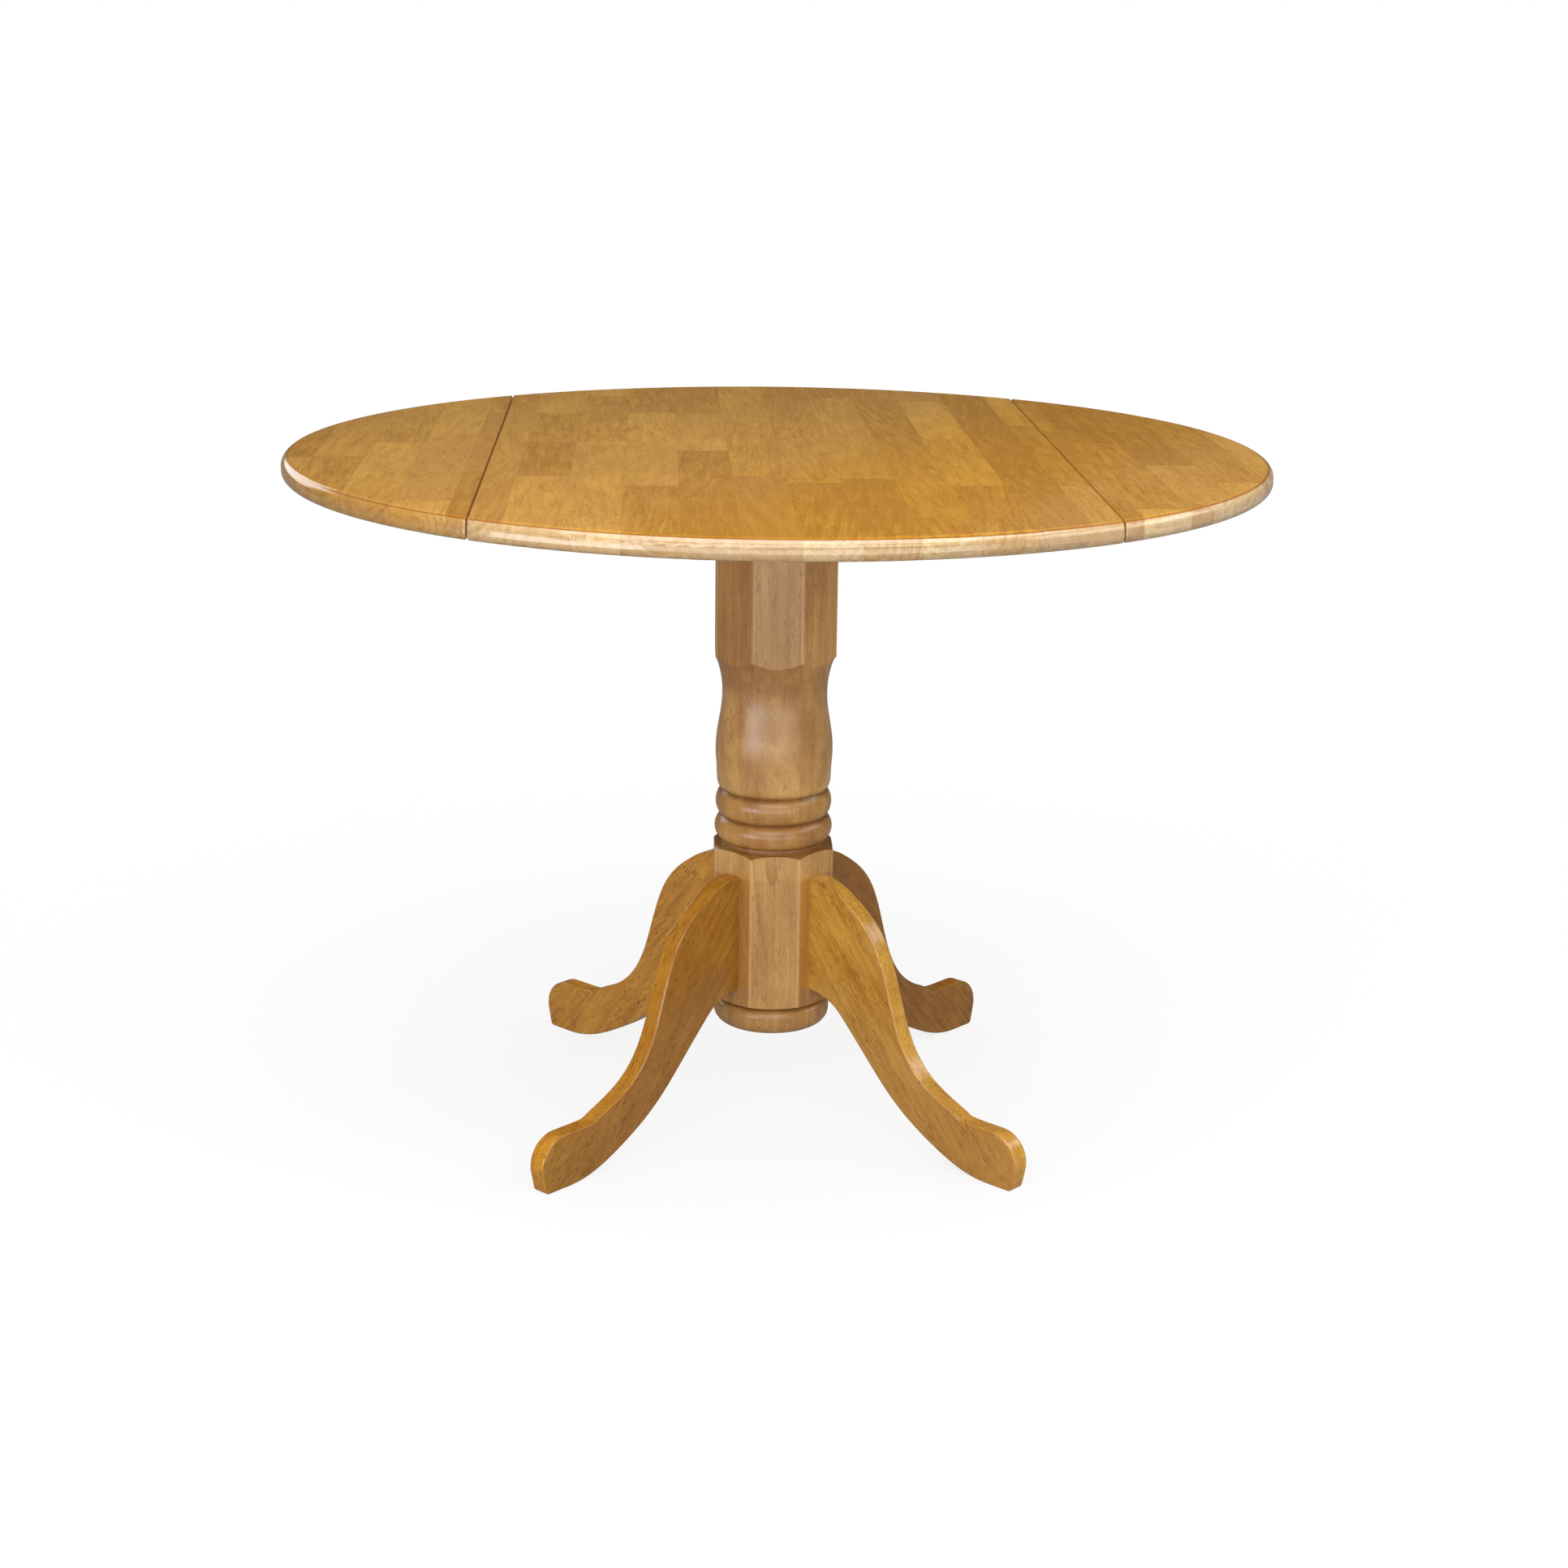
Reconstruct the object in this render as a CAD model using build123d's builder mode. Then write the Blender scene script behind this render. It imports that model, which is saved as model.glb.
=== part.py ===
from build123d import *
from math import acos, cos, degrees, radians, sin, tan
import os

# A round pedestal table with two drop leaves. Millimetres, +Z up. The origin is on the floor,
# on the axis of the column. X runs from leaf to leaf and Y along the boards of the top.

# ---- Driving dimensions ----

table_height = 762
top_diameter = 1066.8
top_thickness = 22
seam_distance = 309              # from the middle of the table to each seam
seam_gap = 1.0                   # between the centre panel and a leaf
rim_round, rim_under_round = 10, 8
seam_round = 2                   # eases the corners and upper edges that meet at a seam

column_across_flats = 133
foot_height = 103.5              # underside of the column
bore_radius = 40                 # the hollow in the column's foot
bore_top = 275

leg_thickness = 21
leg_arris = 2
leg_top, leg_bottom = 290.5, 157   # where a leg meets the column, above the floor
toe_radius = 32.5
toe_reach, toe_height = 335, 29    # centre of the toe's round, from the column's axis and the floor
toe_lean = 12.5                    # degrees that the toe's end leans in, down to the floor
heel_round = 5
leg_angles = {"front_left": 225, "front_right": 315, "rear_left": 135, "rear_right": 45}
leg_bolt_heights = (190, 250)

block_length, block_width, block_thickness = 240, 200, 24
block_corner, block_chamfer = 12, 5
cleat_length, cleat_width, cleat_height = 460, 40, 28
cleat_distance = 230             # from the middle of the table to a cleat's centre line

hinge_distance = 280             # from the middle of the table to a hinge, along the seam
hinge_length = 60
hinge_leaf = 28                  # reach of one plate from the pin
hinge_screw_reach, hinge_screw_spread = 18, 22   # screws, from the pin and along it
middle_knuckle = 23.2
plate_thickness = 2
pin_radius = 1.75
pin_head_radius, pin_head_length = 2.65, 1
knuckle_radius = 3.5
knuckle_relief = 4.5             # a plate is cut back this far from the pin beside the other's knuckle
pin_drop = 4                     # the pin's axis, below the underside of the top
running_clearance = 0.05
side_gap = 0.4                   # between plates that swing past each other

stay_distance = 150              # from the middle of the table to a stay, along the seam
stay_thickness = 3
stay_half_width = 8
rivet_radius = 3
slot_clearance = 0.3
pivot_in, pivot_down = 26, 22    # pivot of a stay, from the hinge pin
slide_out, slide_down = 100, 19  # sliding rivet on the leaf, from the hinge pin
foot_length, foot_width = 32, 20
foot_screw, foot_screw_spread = 12, 9   # a bracket's screws, from its ear and along it
plate_corner = 4                 # round corners of hinge plates and brackets
rivet_head_radius, rivet_head_height = 5.5, 2
rivet_tail_radius, rivet_tail_height = 5, 1.5

screw_radius, screw_head_radius, screw_head_height = 1.75, 3.5, 1.8
plate_screw_length, block_screw_length, cleat_screw_length = 15, 38, 42
bolt_radius, bolt_hole_radius = 4, 4.3
lag_length, lag_head_radius, lag_head_height = 75, 7.5, 5.3
lag_washer_radius, lag_washer_thickness = 10, 2
counterbore_radius, counterbore_depth = 12, 8
leg_bolt_start, leg_bolt_end = 31, 100   # from the column's axis
washer_seat = 43                         # flat inside the bore, from the column's axis
leg_washer_radius, leg_washer_thickness = 9, 1.6
nut_radius, nut_height = 7.5, 6.5
washer_room = 2                          # between a leg washer and the round seat cut for it

# ---- Worked out from them ----

top_radius = top_diameter / 2
underside = table_height - top_thickness
column_apothem = column_across_flats / 2
column_top = underside - block_thickness
pin_height = underside - pin_drop
plate_face = underside - plate_thickness
ear_offset = stay_thickness / 2 + side_gap + plate_thickness / 2

sides = {"left": -1, "right": 1}
ends = {"front": -1, "rear": 1}
corners = [(side, end) for side in sides for end in ends]

lag_points = [(32 * i, 32 * j) for i in (-1, 1) for j in (-1, 1)]
block_screw_points = [(100 * i, 80 * j) for i in (-1, 1) for j in (-1, 1)] + [(0, -86), (0, 86)]
cleat_screw_points = {end: [(x, ends[end] * cleat_distance) for x in (-190, -65, 65, 190)] for end in ends}


def seam_plane(side, distance):
    """Upright plane across a seam: local x runs outwards from the hinge pin, local y up."""
    out = sides[side]
    return Plane(origin=(out * seam_distance, distance, pin_height), x_dir=(out, 0, 0), z_dir=(0, -out, 0))


def radial_plane(angle, height, distance=0):
    """Plane square to a ray from the column's axis, facing outwards."""
    ray = Vector(cos(radians(angle)), sin(radians(angle)), 0)
    return Plane(origin=ray * distance + Vector(0, 0, height), x_dir=(-ray.Y, ray.X, 0), z_dir=ray)


def hinge_screw_points(side, end, board):
    """Screws of one hinge plate. board is -1 on the centre panel and 1 on the leaf."""
    x = sides[side] * (seam_distance + board * hinge_screw_reach)
    return [(x, ends[end] * hinge_distance + i * hinge_screw_spread) for i in (-1, 0, 1)]


def bracket_screw_points(side, end, board):
    """Screws of one stay bracket, on the centre panel (-1) or on the leaf (1)."""
    middle = seam_distance + (slide_out if board > 0 else -pivot_in)
    y = ends[end] * (stay_distance + board * (ear_offset + foot_screw))
    return [(sides[side] * (middle + i * foot_screw_spread), y) for i in (-1, 1)]


def plate_screw_points(side, board):
    points = []
    for end in ends:
        points += hinge_screw_points(side, end, board) + bracket_screw_points(side, end, board)
    return points


def save(builder, name):
    builder.part.label = name
    export_step(builder.part, f"parts/{name}.step")


os.makedirs("parts", exist_ok=True)

# ---- Wood screws: one countersunk shape in three lengths, point upwards, face of the head at z = 0 ----


def wood_screw(length):
    with BuildPart() as screw:
        with BuildSketch(Plane.XZ):
            with BuildLine():
                Polyline(
                    (0, 0),
                    (screw_head_radius, 0),
                    (screw_radius, screw_head_height),
                    (screw_radius, length - 2 * screw_radius),
                    (0, length),
                    close=True,
                )
            make_face()
        revolve(axis=Axis.Z)
    return screw.part


plate_screw = wood_screw(plate_screw_length)
block_screw = wood_screw(block_screw_length)
cleat_screw = wood_screw(cleat_screw_length)


def screw_group(screw, points, height):
    with BuildPart() as group:
        with Locations(*[(x, y, height) for x, y in points]):
            add(screw)
    return group


panel_plate_points = plate_screw_points("left", -1) + plate_screw_points("right", -1)
save(screw_group(plate_screw, panel_plate_points, plate_face), "panel_screws")
for side in sides:
    save(screw_group(plate_screw, plate_screw_points(side, 1), plate_face), f"{side}_leaf_screws")
cleat_points = cleat_screw_points["front"] + cleat_screw_points["rear"]
save(screw_group(cleat_screw, cleat_points, underside - cleat_height), "cleat_screws")
save(screw_group(block_screw, block_screw_points, column_top), "block_screws")

# ---- The top: a centre panel and two leaves that together make the circle ----


def round_edges(board):
    """Round the rim above and below, then ease the ends of the seam faces and their upper edges."""
    fillet(board.edges().group_by(Axis.Z)[-1].filter_by(GeomType.CIRCLE), radius=rim_round)
    fillet(board.edges().group_by(Axis.Z)[0].filter_by(GeomType.CIRCLE), radius=rim_under_round)
    eased = []
    for seam_face in board.faces().filter_by(Axis.X):
        eased += seam_face.edges().sort_by(Axis.Z)[1:]
    fillet(eased, radius=seam_round)


with BuildPart() as centre_panel:
    with BuildSketch(Plane.XY.offset(underside)):
        Circle(top_radius)
        Rectangle(2 * seam_distance - seam_gap, top_diameter, mode=Mode.INTERSECT)
    extrude(amount=top_thickness)
    round_edges(centre_panel)
    with Locations(*[(x, y, plate_face) for x, y in panel_plate_points]):
        add(plate_screw, mode=Mode.SUBTRACT)
    with Locations(*[(x, y, underside - cleat_height) for x, y in cleat_points]):
        add(cleat_screw, mode=Mode.SUBTRACT)
    with Locations(*[(x, y, column_top) for x, y in block_screw_points]):
        add(block_screw, mode=Mode.SUBTRACT)
save(centre_panel, "centre_panel")

leaf_start = seam_distance + seam_gap / 2
leaf_depth = top_radius - leaf_start
for side, out in sides.items():
    with BuildPart() as leaf:
        with BuildSketch(Plane.XY.offset(underside)):
            Circle(top_radius)
            with Locations((out * (leaf_start + leaf_depth / 2), 0)):
                Rectangle(leaf_depth, top_diameter, mode=Mode.INTERSECT)
        extrude(amount=top_thickness)
        round_edges(leaf)
        with Locations(*[(x, y, plate_face) for x, y in plate_screw_points(side, 1)]):
            add(plate_screw, mode=Mode.SUBTRACT)
    save(leaf, f"{side}_leaf")

# ---- Two cleats across the grain, and the block that the column hangs on to ----

for end in ends:
    with BuildPart() as cleat:
        with BuildSketch(Plane.XZ.offset(-ends[end] * cleat_distance)):
            with Locations((0, underside - cleat_height / 2)):
                Rectangle(cleat_length, cleat_height)
        extrude(amount=cleat_width / 2, both=True)
        lower_ends = cleat.edges().filter_by(Axis.Y).group_by(Axis.Z)[0]
        chamfer(lower_ends, length=cleat_height * 0.6, length2=cleat_height)
        with Locations(*[(x, y, underside - cleat_height) for x, y in cleat_screw_points[end]]):
            add(cleat_screw, mode=Mode.SUBTRACT)
    save(cleat, f"{end}_cleat")

with BuildPart() as mounting_block:
    with BuildSketch(Plane.XY.offset(column_top)):
        RectangleRounded(block_length, block_width, block_corner)
    extrude(amount=block_thickness)
    chamfer(mounting_block.faces().sort_by(Axis.Z)[0].edges(), length=block_chamfer)
    with Locations(*[(x, y, underside) for x, y in lag_points]):
        CounterBoreHole(bolt_hole_radius, counterbore_radius, counterbore_depth)
    with Locations(*[(x, y, column_top) for x, y in block_screw_points]):
        add(block_screw, mode=Mode.SUBTRACT)
save(mounting_block, "mounting_block")

# ---- The column: an octagonal post, turned to a vase and two beads between its octagons ----

prism_radius = 75                # outside the octagon's corners, so that the octagon stays whole
groove_radius = 59.6             # the bottom of each groove between vase, beads and shoulder
neck_radius, neck_height = 58.7, 492
belly_radius, belly_height = 65.7, 421
grooves = (380.5, 350, 322)      # heights of the grooves
upper_bead_radius, lower_bead_radius = 65.4, 66.4
shoulder_height, shoulder_radius = 318, 14
post_end, ring_top = 137.4, 133  # the octagon ends in a groove above the foot ring
ring_radius, ring_top_round, ring_round = 66, 9, 15


def bead(start, end, radius):
    return ThreePointArc((groove_radius, start), (radius, (start + end) / 2), (groove_radius, end))


def turned_outline():
    """Half of the column's turned profile: x from its axis, y from the floor."""
    with BuildSketch(Plane.XZ) as outline:
        with BuildLine():
            cove = Spline(
                (neck_radius, neck_height),
                (60.1, 509),
                (62.8, 521),
                (column_apothem, 530.7),
                (72, 537),
                (prism_radius, 539.5),
                tangents=[(0, 1), (1, 0.7)],
            )
            Polyline(cove @ 1, (prism_radius, column_top), (0, column_top))
            Spline(
                cove @ 0,
                (60.4, 469.5),
                (63.6, 451),
                (belly_radius, belly_height),
                (64.4, 402),
                (groove_radius, grooves[0]),
                tangents=[(0, -1), (-0.9, -1)],
            )
            bead(grooves[0], grooves[1], upper_bead_radius)
            bead(grooves[1], grooves[2], lower_bead_radius)
            Polyline(
                (groove_radius, grooves[2]),
                (groove_radius, shoulder_height),
                (prism_radius - shoulder_radius, shoulder_height),
            )
            shoulder_centre = (prism_radius - shoulder_radius, shoulder_height - shoulder_radius)
            shoulder = CenterArc(shoulder_centre, shoulder_radius, 90, -90)
            Polyline(
                shoulder @ 1,
                (prism_radius, post_end + 2.5),
                (ring_radius - ring_top_round, post_end - 2.5),
                (ring_radius - ring_top_round, ring_top),
            )
            ring_top_centre = (ring_radius - ring_top_round, ring_top - ring_top_round)
            ring_shoulder = CenterArc(ring_top_centre, ring_top_round, 90, -90)
            Line(ring_shoulder @ 1, (ring_radius, foot_height + ring_round))
            ring_foot = CenterArc((ring_radius - ring_round, foot_height + ring_round), ring_round, 0, -90)
            Polyline(ring_foot @ 1, (0, foot_height), (0, column_top))
        make_face()
    return outline.sketch


with BuildPart() as column:
    with BuildSketch(Plane.XY.offset(foot_height)):
        RegularPolygon(column_apothem, 8, major_radius=False, rotation=22.5)
    extrude(amount=column_top - foot_height)
    add(turned_outline())
    revolve(axis=Axis.Z, mode=Mode.INTERSECT)
    with Locations((0, 0, foot_height)):
        Cylinder(bore_radius, bore_top - foot_height, align=(Align.CENTER, Align.CENTER, Align.MIN),
                 mode=Mode.SUBTRACT)
    for angle in leg_angles.values():
        for height in leg_bolt_heights:
            with BuildSketch(radial_plane(angle, height)):
                Circle(bolt_hole_radius)
            extrude(amount=prism_radius, mode=Mode.SUBTRACT)
            with BuildSketch(radial_plane(angle, height)):
                Circle(leg_washer_radius + washer_room)
            extrude(amount=washer_seat, mode=Mode.SUBTRACT)
    lag_reach = lag_length - (underside - counterbore_depth + lag_washer_thickness - column_top)
    with Locations(*[(x, y, column_top) for x, y in lag_points]):
        Hole(bolt_radius, depth=lag_reach)
save(column, "column")

# ---- Legs: four scrolled planks on the diagonal faces of the lower octagon ----

def leg_outline():
    """Outline in a leg's own plane: x from the column's axis, y from the floor."""
    with BuildSketch() as outline:
        with BuildLine():
            back = Spline(
                (column_apothem, leg_top),
                (118, 273.5),
                (155, 243),
                (179, 196.5),
                (201, 134.5),
                (240, 87.5),
                (285, 65.5),
                (toe_reach, toe_height + toe_radius),
                tangents=[(1, 0), (1, 0)],
            )
            toe = JernArc(start=back @ 1, tangent=(1, 0), radius=toe_radius, arc_size=-90 - toe_lean)
            toe_end = toe @ 1
            heel = (toe_end.X - toe_end.Y * tan(radians(toe_lean)), 0)
            belly = Spline(
                (toe_reach - 5, 0),
                (257, 19.5),
                (201, 53),
                (160, 91),
                (116, 136),
                (column_apothem, leg_bottom),
                tangents=[(-1, 0), (-1, 0.1)],
            )
            Polyline(toe_end, heel, belly @ 0)
            Line(belly @ 1, back @ 0)
        make_face()
        fillet(outline.vertices().group_by(Axis.Y)[0].sort_by(Axis.X)[-1], radius=heel_round)
    return outline.sketch


leg_shape = leg_outline()

for place, angle in leg_angles.items():
    ray = Vector(cos(radians(angle)), sin(radians(angle)), 0)
    leg_plane = Plane(origin=(0, 0, 0), x_dir=ray, z_dir=(ray.Y, -ray.X, 0))
    with BuildPart() as leg:
        with BuildSketch(leg_plane.offset(-leg_thickness / 2)):
            add(leg_shape)
        extrude(amount=leg_thickness)
        butt = leg.faces().sort_by(Axis(origin=(0, 0, 0), direction=ray))[0]
        sides_only = leg.faces().filter_by(Axis(origin=(0, 0, 0), direction=leg_plane.z_dir))
        arrises = sides_only[0].edges() + sides_only[1].edges()
        butt_edges = butt.edges()
        fillet([e for e in arrises if not any(e.is_same(b) for b in butt_edges)], radius=leg_arris)
        for height in leg_bolt_heights:
            with BuildSketch(radial_plane(angle, height, column_apothem)):
                Circle(bolt_radius)
            extrude(amount=leg_bolt_end - column_apothem, mode=Mode.SUBTRACT)
    save(leg, f"leg_{place}")

# ---- What holds the legs and the column: bolts, washers and nuts ----


def ring_group(places, outer, inner, start, length, hexagon=False):
    """Rings, nuts or plain rods of one size, one on each plane in places."""
    with BuildPart() as group:
        for place in places:
            with BuildSketch(place.offset(start)):
                if hexagon:
                    RegularPolygon(outer, 6)
                else:
                    Circle(outer)
                if inner:
                    Circle(inner, mode=Mode.SUBTRACT)
            extrude(amount=length)
    return group


leg_bolt_places = [radial_plane(a, h) for a in leg_angles.values() for h in leg_bolt_heights]
washer_start = washer_seat - leg_washer_thickness
save(ring_group(leg_bolt_places, bolt_radius, 0, leg_bolt_start, leg_bolt_end - leg_bolt_start), "leg_bolts")
save(
    ring_group(leg_bolt_places, leg_washer_radius, bolt_radius, washer_start, leg_washer_thickness),
    "leg_washers",
)
save(
    ring_group(leg_bolt_places, nut_radius, bolt_radius, washer_start - nut_height, nut_height, True),
    "leg_nuts",
)

lag_seat = underside - counterbore_depth
lag_places = [Plane(origin=(x, y, lag_seat), z_dir=(0, 0, 1)) for x, y in lag_points]
save(ring_group(lag_places, lag_washer_radius, bolt_radius, 0, lag_washer_thickness), "column_bolt_washers")
with BuildPart() as column_bolts:
    for place in lag_places:
        head_face = place.offset(lag_washer_thickness)
        with BuildSketch(head_face):
            RegularPolygon(lag_head_radius, 6)
        extrude(amount=lag_head_height)
        with BuildSketch(head_face):
            Circle(bolt_radius)
        extrude(amount=-lag_length)
save(column_bolts, "column_bolts")

# ---- Butt hinges under both seams ----


def hinge_plate(side, end, board):
    """One plate and its knuckles: the outer two on the centre panel (-1), the middle one on the leaf (1)."""
    place = seam_plane(side, ends[end] * hinge_distance)
    middle_cut = middle_knuckle + 2 * side_gap
    with BuildPart() as plate:
        with BuildSketch(place):
            with Locations((board * hinge_leaf / 2, pin_drop - plate_thickness / 2)):
                Rectangle(hinge_leaf, plate_thickness)
            Circle(knuckle_radius)
        extrude(amount=hinge_length / 2, both=True)
        outer_corners = plate.edges().filter_by(Axis.Z).sort_by(Axis.X)
        outer_corners = outer_corners[-2:] if sides[side] * board > 0 else outer_corners[:2]
        fillet(outer_corners, radius=plate_corner)
        with BuildSketch(place):
            with Locations((board * (knuckle_relief - hinge_leaf / 2), 0)):
                Rectangle(hinge_leaf, 3 * knuckle_radius)
        if board < 0:
            extrude(amount=middle_cut / 2, both=True, mode=Mode.SUBTRACT)
        else:
            extrude(amount=hinge_length / 2, both=True, mode=Mode.SUBTRACT)
            with BuildSketch(place):
                with Locations((board * hinge_leaf / 4, pin_drop - plate_thickness / 2)):
                    Rectangle(hinge_leaf / 2, plate_thickness)
                Circle(knuckle_radius)
            extrude(amount=middle_knuckle / 2, both=True)
        bore = pin_radius if board < 0 else pin_radius + running_clearance
        with BuildSketch(place):
            Circle(bore)
        extrude(amount=hinge_length / 2, both=True, mode=Mode.SUBTRACT)
        with Locations(*[(x, y, plate_face) for x, y in hinge_screw_points(side, end, board)]):
            add(plate_screw, mode=Mode.SUBTRACT)
    return plate


for side, end in corners:
    save(hinge_plate(side, end, -1), f"{side}_{end}_hinge_plate")
    save(hinge_plate(side, end, 1), f"{side}_{end}_hinge_leaf")
    place = seam_plane(side, ends[end] * hinge_distance)
    with BuildPart() as pin:
        with BuildSketch(place):
            Circle(pin_radius)
        extrude(amount=hinge_length / 2 + pin_head_length, both=True)
        for start in (hinge_length / 2, -hinge_length / 2 - pin_head_length):
            with BuildSketch(place.offset(start)):
                Circle(pin_head_radius)
            extrude(amount=pin_head_length)
    save(pin, f"{side}_{end}_hinge_pin")

# ---- Stays: a slotted arm that turns on the centre panel and slides on a rivet under the leaf ----

# The pivot keeps one distance from the hinge pin, so an arm that turns with its leaf moves along a
# circle of that radius seen from the leaf. A quarter of that circle is the slot, exact for 90 degrees.
slot_centre = (slide_out - pivot_in, -slide_down - pivot_down)
slot_radius = (pivot_in**2 + pivot_down**2) ** 0.5
slot_start_angle = degrees(acos(pivot_in / slot_radius))


def stay_arm(side, end):
    place = seam_plane(side, ends[end] * stay_distance)
    with BuildPart() as arm:
        with BuildSketch(place):
            with BuildLine(mode=Mode.PRIVATE) as slot_line:
                CenterArc(slot_centre, slot_radius, slot_start_angle, 90)
            slot_path = slot_line.edges()[0]
            with Locations((-pivot_in, -pivot_down), slot_path @ 0, slot_path @ 0.5, slot_path @ 1):
                Circle(stay_half_width)
            make_hull()
            SlotArc(slot_path, 2 * (rivet_radius + slot_clearance), mode=Mode.SUBTRACT)
            with Locations((-pivot_in, -pivot_down)):
                Circle(rivet_radius + running_clearance, mode=Mode.SUBTRACT)
        extrude(amount=stay_thickness / 2, both=True)
    return arm


def stay_bracket(side, end, board):
    """Angle bracket: a foot under the board and an ear that holds the rivet."""
    ear_plane = seam_plane(side, ends[end] * (stay_distance + board * ear_offset))
    across, down = (slide_out, slide_down) if board > 0 else (-pivot_in, pivot_down)
    with BuildPart() as bracket:
        with BuildSketch(ear_plane):
            with BuildLine():
                Polyline(
                    (across - foot_length / 2, pin_drop),
                    (across + foot_length / 2, pin_drop),
                    (across + foot_length / 2, pin_drop - plate_thickness),
                    (across + stay_half_width, -down),
                    (across - stay_half_width, -down),
                    (across - foot_length / 2, pin_drop - plate_thickness),
                    close=True,
                )
            make_face()
            with Locations((across, -down)):
                Circle(stay_half_width)
                Circle(rivet_radius, mode=Mode.SUBTRACT)
        extrude(amount=plate_thickness / 2, both=True)
        foot_middle = stay_distance + board * (ear_offset - plate_thickness / 2 + foot_width / 2)
        with BuildSketch(Plane.XY.offset(plate_face)):
            with Locations((sides[side] * (seam_distance + across), ends[end] * foot_middle)):
                Rectangle(foot_length, foot_width)
        extrude(amount=plate_thickness)
        foot_end = bracket.edges().filter_by(Axis.Z).sort_by(Axis.Y)
        foot_end = foot_end[-2:] if ends[end] * board > 0 else foot_end[:2]
        fillet(foot_end, radius=plate_corner)
        with Locations(*[(x, y, plate_face) for x, y in bracket_screw_points(side, end, board)]):
            add(plate_screw, mode=Mode.SUBTRACT)
    return bracket


def rivet_group(wanted, board):
    """Shouldered rivets from beside each arm, through it, into the ear of the bracket."""
    head_start = -(stay_thickness / 2 + side_gap)
    tail_start = ear_offset + plate_thickness / 2
    across, down = (slide_out, slide_down) if board > 0 else (-pivot_in, pivot_down)
    with BuildPart() as group:
        for side, end in wanted:
            centre = (sides[side] * (seam_distance + across), ends[end] * stay_distance, pin_height - down)
            place = Plane(origin=centre, x_dir=(1, 0, 0), z_dir=(0, ends[end] * board, 0))
            for radius, start, length in (
                (rivet_head_radius, head_start - rivet_head_height, rivet_head_height),
                (rivet_radius, head_start, tail_start - head_start),
                (rivet_tail_radius, tail_start, rivet_tail_height),
            ):
                with BuildSketch(place.offset(start)):
                    Circle(radius)
                extrude(amount=length)
    return group


for side, end in corners:
    save(stay_arm(side, end), f"{side}_{end}_stay_arm")
    save(stay_bracket(side, end, -1), f"{side}_{end}_panel_bracket")
    save(stay_bracket(side, end, 1), f"{side}_{end}_leaf_bracket")
save(rivet_group(corners, -1), "stay_pivot_rivets")
for side in sides:
    save(rivet_group([(side, end) for end in ends], 1), f"{side}_stay_slide_rivets")
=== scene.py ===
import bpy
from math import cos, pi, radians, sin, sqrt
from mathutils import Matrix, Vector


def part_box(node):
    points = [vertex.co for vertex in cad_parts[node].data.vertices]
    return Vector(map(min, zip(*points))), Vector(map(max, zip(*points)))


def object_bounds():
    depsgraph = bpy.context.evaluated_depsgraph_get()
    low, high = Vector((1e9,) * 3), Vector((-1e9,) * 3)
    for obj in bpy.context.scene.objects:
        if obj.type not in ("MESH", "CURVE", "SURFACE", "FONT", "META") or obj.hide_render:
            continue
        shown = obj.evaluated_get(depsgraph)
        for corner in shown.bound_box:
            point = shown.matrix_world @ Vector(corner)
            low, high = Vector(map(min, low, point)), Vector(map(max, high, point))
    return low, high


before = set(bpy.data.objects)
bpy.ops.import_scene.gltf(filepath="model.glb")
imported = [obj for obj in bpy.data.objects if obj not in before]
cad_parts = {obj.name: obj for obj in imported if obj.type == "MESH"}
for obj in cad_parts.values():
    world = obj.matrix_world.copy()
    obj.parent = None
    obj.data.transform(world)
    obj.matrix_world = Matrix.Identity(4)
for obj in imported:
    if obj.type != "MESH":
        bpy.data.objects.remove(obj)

# %% [markdown]
# # A round table with two drop leaves
# The frame already holds the joinery: three boards of the top, a turned column, four scrolled legs and
# the steel hardware, each at its real size. This lesson dresses it in honey-stained, lacquered hardwood
# and zinc-plated steel, and lights it as a plain studio would. First it keeps the frame's own box, from
# which the radius of the top is read. All lengths are in metres.

cad_low, cad_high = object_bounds()
panel_low, panel_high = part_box("centre_panel")
table_height = panel_high[2]
top_radius = (cad_high[0] - cad_low[0]) / 2
seam = panel_high[0]
print("height", round(table_height, 4), "radius", round(top_radius, 4), "seam at", round(seam, 4))
print("thickness of the top", round(panel_high[2] - panel_low[2], 4))

# %% [markdown]
# ## Camera
# The table is seen from the front and a little from the left, from about the eye height of someone who
# stands back from it. A long lens keeps the ellipse of the top calm. Pan, tilt and roll are three
# separate turns, so each one can be read and changed by itself.

# %% Camera
camera_data = bpy.data.cameras.new("camera")
camera_data.sensor_width = 36.0
camera_data.lens = 62.03
camera = bpy.data.objects.new("camera", camera_data)
bpy.context.scene.collection.objects.link(camera)
camera_place = Vector((-0.1321, -2.9304, table_height + 0.4483))
pan, tilt, roll = radians(-2.81), radians(15.75), radians(0.78)
camera.matrix_world = (
    Matrix.Translation(camera_place)
    @ Matrix.Rotation(pan, 4, "Z")
    @ Matrix.Rotation(radians(90) - tilt, 4, "X")
    @ Matrix.Rotation(roll, 4, "Z")
)
bpy.context.scene.camera = camera
print("camera at", [round(v, 3) for v in camera_place])

# %% [markdown]
# ## Small helpers for node trees
# A material is a chain of small steps, and each helper adds one step and gives back its output. They
# keep the materials below short enough to read as a recipe. The first ones are plain sums: on numbers,
# on vectors, and on a row of masks that are multiplied together or of which the largest counts.

# %% Helpers for sums


def plug(tree, target, value):
    """Give an input a value, or wire it to another node's output."""
    if isinstance(value, bpy.types.NodeSocket):
        tree.links.new(value, target)
    else:
        target.default_value = value


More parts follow.
